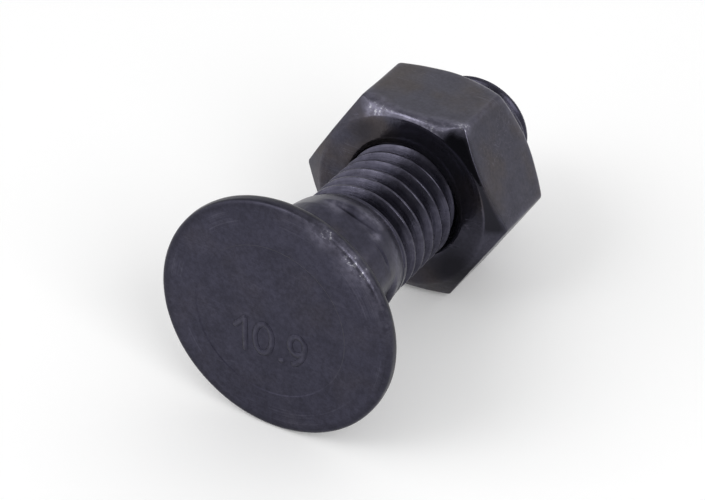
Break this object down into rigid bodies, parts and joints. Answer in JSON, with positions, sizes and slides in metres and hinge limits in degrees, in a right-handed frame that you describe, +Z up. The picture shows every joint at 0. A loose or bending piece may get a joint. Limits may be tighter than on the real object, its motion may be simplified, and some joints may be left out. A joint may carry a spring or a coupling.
{
  "type": "plow bolt",
  "caption": "Flat countersunk-head plow bolt in black steel with a short square neck, a coarse rolled thread and a hexagon nut run part of the way up it.",
  "frame": {"origin": "centre of the footprint, on the surface that the bolt lies on", "axes": "+X from the head towards the threaded end, +Z up; the bolt lies on its head's rim and one flat of the nut, so its axis slopes 4.4 degrees down towards +X"},
  "size_m": [0.0412, 0.0238, 0.0238],
  "materials": {
    "bolt_steel": "black oxide, satin",
    "nut_steel": "black oxide, satin"
  },
  "bodies": {
    "bolt": {"plow_bolt": "bolt_steel"},
    "nut": {"hex_nut": "nut_steel"}
  },
  "joints": [
    {"name": "nut_travel", "type": "slide", "parent": "bolt", "child": "nut", "axis": [0.997, 0, -0.0769], "range_m": [-0.00875, 0.01925]}
  ]
}
